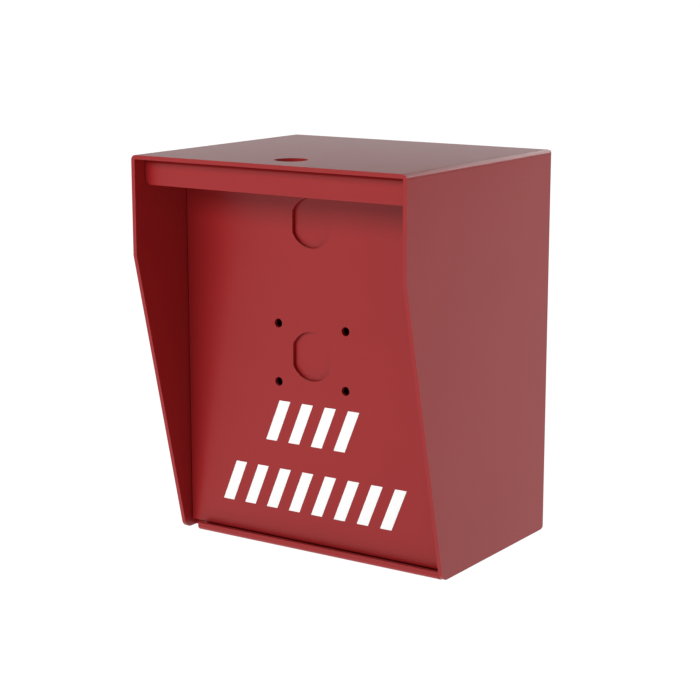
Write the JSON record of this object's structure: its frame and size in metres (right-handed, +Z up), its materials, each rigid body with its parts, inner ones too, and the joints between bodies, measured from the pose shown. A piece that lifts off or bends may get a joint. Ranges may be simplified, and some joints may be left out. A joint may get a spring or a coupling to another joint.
{
  "type": "hooded fire access housing",
  "caption": "Hooded sheet-steel housing that shelters a key switch or reader, with a tilt-out faceplate, device knockouts and bolt holes in the back.",
  "frame": {"origin": "middle of the underside of the bottom pan, halfway along the roof's depth", "axes": "+Z up, -Y out of the open front towards the user, +X to the user's right when facing the front"},
  "size_m": [0.2032, 0.1778, 0.254],
  "materials": {
    "red_powder_coat": "semi-gloss red powder coat",
    "black_rubber": "matt black EPDM",
    "zinc_steel": "bright zinc plated",
    "nylon": "natural nylon",
    "white_vinyl": "white cut vinyl"
  },
  "bodies": {
    "housing": {"hood_shell": "red_powder_coat", "back_panel": "red_powder_coat", "bottom_pan": "red_powder_coat", "hood_valance": "red_powder_coat", "strike_angle": "red_powder_coat", "side_stop_left": "red_powder_coat", "side_stop_right": "red_powder_coat", "seal_top": "black_rubber", "seal_left": "black_rubber", "seal_right": "black_rubber", "clinch_nut_left": "zinc_steel", "clinch_nut_right": "zinc_steel", "cable_grommet": "black_rubber", "ground_stud": "zinc_steel", "ground_washer": "zinc_steel", "ground_nut": "zinc_steel"},
    "faceplate": {"faceplate": "red_powder_coat", "foot_angle": "red_powder_coat", "knockout_upper": "red_powder_coat", "knockout_lower": "red_powder_coat", "stripes_upper": "white_vinyl", "stripes_lower": "white_vinyl", "captive_washer_left": "nylon", "captive_washer_right": "nylon"},
    "screw_left": {"captive_screw_left": "zinc_steel"},
    "screw_right": {"captive_screw_right": "zinc_steel"}
  },
  "joints": [
    {"name": "faceplate_tilt", "type": "hinge", "parent": "housing", "child": "faceplate", "pos_m": [0, -0.0382, 0.0062], "axis": [1, 0, 0], "range_deg": [0, 85]},
    {"name": "screw_left_release", "type": "slide", "parent": "faceplate", "child": "screw_left", "axis": [0, -1, 0], "range_m": [0, 0.0041]},
    {"name": "screw_right_release", "type": "slide", "parent": "faceplate", "child": "screw_right", "axis": [0, -1, 0], "range_m": [0, 0.0041]}
  ]
}
